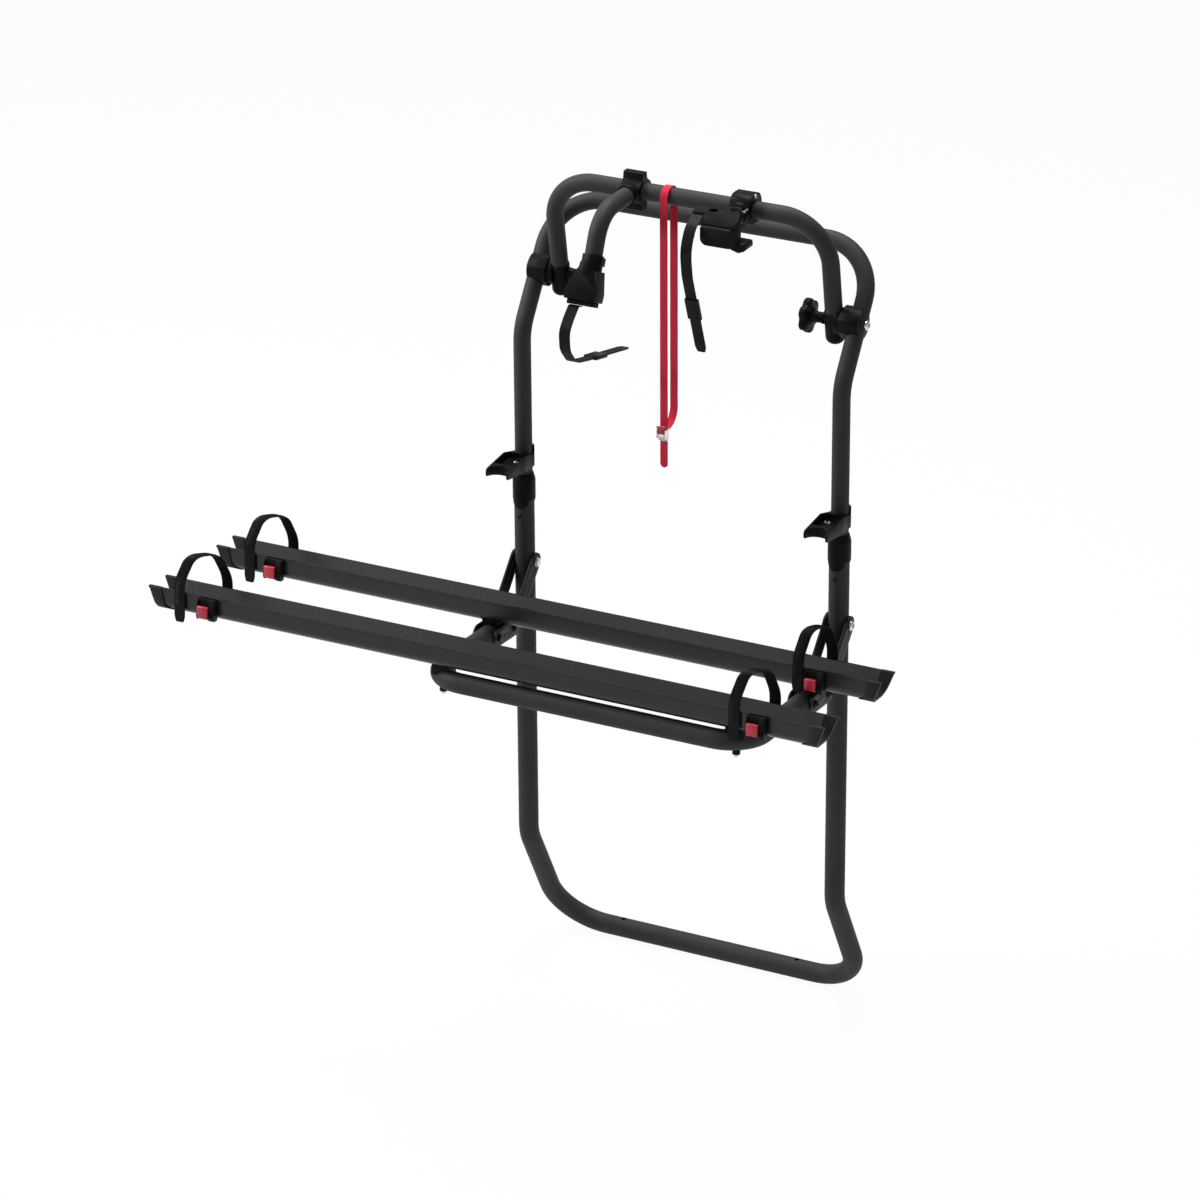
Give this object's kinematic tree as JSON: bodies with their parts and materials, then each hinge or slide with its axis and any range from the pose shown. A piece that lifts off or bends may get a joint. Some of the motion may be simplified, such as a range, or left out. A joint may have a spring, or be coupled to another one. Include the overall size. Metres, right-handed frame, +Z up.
{
  "type": "motorhome bike rack",
  "caption": "Folding tubular rack for a motorhome's rear wall: telescoping uprights, a platform with sliding wheel rails, and a tilting hoop with strap blocks that hold bicycles.",
  "frame": {"origin": "midway between the two bolt holes of the bottom bar, on the bar's axis", "axes": "+X to the right seen from behind the vehicle, +Y towards the vehicle's wall, +Z up"},
  "size_m": [1.27, 0.5319, 1.4929],
  "materials": {
    "frame_paint": "satin",
    "rail_metal": "satin",
    "bracket_paint": "satin",
    "black_plastic": "matte",
    "cap_plastic": "matte",
    "pad_rubber": "matte",
    "strap_plastic": "satin",
    "webbing": "matte",
    "buckle_metal": "satin",
    "red_plastic": "gloss",
    "bolt_steel": "satin",
    "dark_steel": "satin"
  },
  "bodies": {
    "lower": {"lower_frame": "frame_paint", "collar_left": "black_plastic", "collar_right": "black_plastic", "collar_screws": "dark_steel", "pivot_bolts": "bolt_steel"},
    "upper": {"upper_frame": "frame_paint", "clip_left": "black_plastic", "clip_right": "black_plastic", "clip_screws": "bolt_steel", "joint_outer_left": "black_plastic", "joint_outer_right": "black_plastic", "joint_bolts": "bolt_steel"},
    "bail": {"hoop": "frame_paint", "joint_inner_left": "black_plastic", "joint_inner_right": "black_plastic"},
    "left_knob": {"knob_left": "black_plastic"},
    "right_knob": {"knob_right": "black_plastic"},
    "long_slider": {"long_liner": "black_plastic"},
    "long_block": {"long_clamp": "black_plastic", "long_clamp_cap": "black_plastic", "long_clamp_screws": "bolt_steel", "long_arm": "frame_paint"},
    "long_jaw": {"long_head": "black_plastic", "long_pad": "pad_rubber", "long_strap": "strap_plastic", "long_strap_buckle": "strap_plastic"},
    "long_catch": {"long_lever": "red_plastic"},
    "short_slider": {"short_liner": "black_plastic"},
    "short_block": {"short_clamp": "black_plastic", "short_clamp_cap": "black_plastic", "short_clamp_screws": "bolt_steel", "short_arm": "frame_paint"},
    "short_jaw": {"short_head": "black_plastic", "short_pad": "pad_rubber", "short_strap": "strap_plastic", "short_strap_buckle": "strap_plastic"},
    "short_catch": {"short_lever": "red_plastic"},
    "webbing": {"security_strap": "webbing", "cam_buckle": "buckle_metal"},
    "cam": {"cam_lever": "red_plastic"},
    "platform": {"platform_tube": "frame_paint", "bracket_left": "bracket_paint", "bracket_right": "bracket_paint", "arm_bolts": "dark_steel", "rail_saddles": "black_plastic", "rail_bolts": "bolt_steel", "rail_bolt_caps": "black_plastic"},
    "rear_tray": {"rear_rail": "rail_metal", "rear_rail_caps": "cap_plastic", "rear_buckles": "black_plastic", "rear_wheel_straps": "strap_plastic"},
    "front_tray": {"front_rail": "rail_metal", "front_rail_caps": "cap_plastic", "front_buckles": "black_plastic", "front_wheel_straps": "strap_plastic"},
    "catch_rear_left": {"wheel_lever_rear_left": "red_plastic"},
    "catch_rear_right": {"wheel_lever_rear_right": "red_plastic"},
    "catch_front_left": {"wheel_lever_front_left": "red_plastic"},
    "catch_front_right": {"wheel_lever_front_right": "red_plastic"}
  },
  "joints": [
    {"name": "upper_slide", "type": "slide", "parent": "lower", "child": "upper", "axis": [0, 0, 1], "range_m": [0, 0.07]},
    {"name": "platform_fold", "type": "hinge", "parent": "lower", "child": "platform", "pos_m": [0, -0.121, 0.7455], "axis": [-1, 0, 0], "range_deg": [0, 86.3], "deforming": ["rear_wheel_straps", "front_wheel_straps"]},
    {"name": "hoop_tilt", "type": "hinge", "parent": "upper", "child": "bail", "pos_m": [0, -0.0598, 1.26145], "axis": [-1, 0, 0], "range_deg": [-45, 15]},
    {"name": "strap_swing", "type": "hinge", "parent": "bail", "child": "webbing", "pos_m": [0, -0.09009, 1.44243], "axis": [-1, 0, 0], "range_deg": [-15, 45]},
    {"name": "left_knob_turn", "type": "hinge", "parent": "upper", "child": "left_knob", "pos_m": [0, -0.0598, 1.26145], "axis": [1, 0, 0], "continuous": true},
    {"name": "right_knob_turn", "type": "hinge", "parent": "upper", "child": "right_knob", "pos_m": [0, -0.0598, 1.26145], "axis": [1, 0, 0], "continuous": true},
    {"name": "long_slide", "type": "slide", "parent": "bail", "child": "long_slider", "axis": [1, 0, 0], "range_m": [-0.05, 0.03]},
    {"name": "long_tilt", "type": "hinge", "parent": "long_slider", "child": "long_block", "pos_m": [-0.097, -0.09009, 1.44243], "axis": [-1, 0, 0], "range_deg": [-15, 60]},
    {"name": "long_swivel", "type": "hinge", "parent": "long_block", "child": "long_jaw", "pos_m": [-0.097, -0.25221, 1.35498], "axis": [0, -0.3907, -0.9205], "range_deg": [-30, 5]},
    {"name": "long_lever_press", "type": "hinge", "parent": "long_jaw", "child": "long_catch", "pos_m": [-0.097, -0.25374, 1.31554], "axis": [1, 0, 0], "range_deg": [0, 35], "stiffness_Nm_per_rad": 0.05, "springref_deg": -17.19},
    {"name": "short_slide", "type": "slide", "parent": "bail", "child": "short_slider", "axis": [1, 0, 0], "range_m": [-0.06, 0.045]},
    {"name": "short_tilt", "type": "hinge", "parent": "short_slider", "child": "short_block", "pos_m": [0.105, -0.09009, 1.44243], "axis": [-1, 0, 0], "range_deg": [-15, 60]},
    {"name": "short_swivel", "type": "hinge", "parent": "short_block", "child": "short_jaw", "pos_m": [0.105, -0.16009, 1.44243], "axis": [0, -1, 0], "range_deg": [-3, 30]},
    {"name": "short_lever_press", "type": "hinge", "parent": "short_jaw", "child": "short_catch", "pos_m": [0.101, -0.17999, 1.41143], "axis": [1, 0, 0], "range_deg": [0, 35], "stiffness_Nm_per_rad": 0.05, "springref_deg": -17.19},
    {"name": "cam_press", "type": "hinge", "parent": "webbing", "child": "cam", "pos_m": [-0.035, -0.11699, 1.02943], "axis": [1, 0, 0], "range_deg": [0, 45], "stiffness_Nm_per_rad": 0.02, "springref_deg": -17.19},
    {"name": "rear_rail_slide", "type": "slide", "parent": "platform", "child": "rear_tray", "axis": [1, 0, 0], "range_m": [-0.05, 0.35]},
    {"name": "front_rail_slide", "type": "slide", "parent": "platform", "child": "front_tray", "axis": [1, 0, 0], "range_m": [-0.05, 0.35]},
    {"name": "wheel_lever_rear_left_press", "type": "hinge", "parent": "rear_tray", "child": "catch_rear_left", "pos_m": [-0.7174, -0.27519, 0.69334], "axis": [1, 0, 0], "range_deg": [0, 60], "stiffness_Nm_per_rad": 0.05, "springref_deg": -17.19},
    {"name": "wheel_lever_rear_right_press", "type": "hinge", "parent": "rear_tray", "child": "catch_rear_right", "pos_m": [0.3166, -0.27519, 0.69334], "axis": [1, 0, 0], "range_deg": [0, 60], "stiffness_Nm_per_rad": 0.05, "springref_deg": -17.19},
    {"name": "wheel_lever_front_left_press", "type": "hinge", "parent": "front_tray", "child": "catch_front_left", "pos_m": [-0.7174, -0.49822, 0.70776], "axis": [1, 0, 0], "range_deg": [0, 60], "stiffness_Nm_per_rad": 0.05, "springref_deg": -17.19},
    {"name": "wheel_lever_front_right_press", "type": "hinge", "parent": "front_tray", "child": "catch_front_right", "pos_m": [0.3166, -0.49822, 0.70776], "axis": [1, 0, 0], "range_deg": [0, 60], "stiffness_Nm_per_rad": 0.05, "springref_deg": -17.19}
  ],
  "couplings": [
    {"joint": "strap_swing", "follows": "hoop_tilt", "ratio": -1}
  ]
}
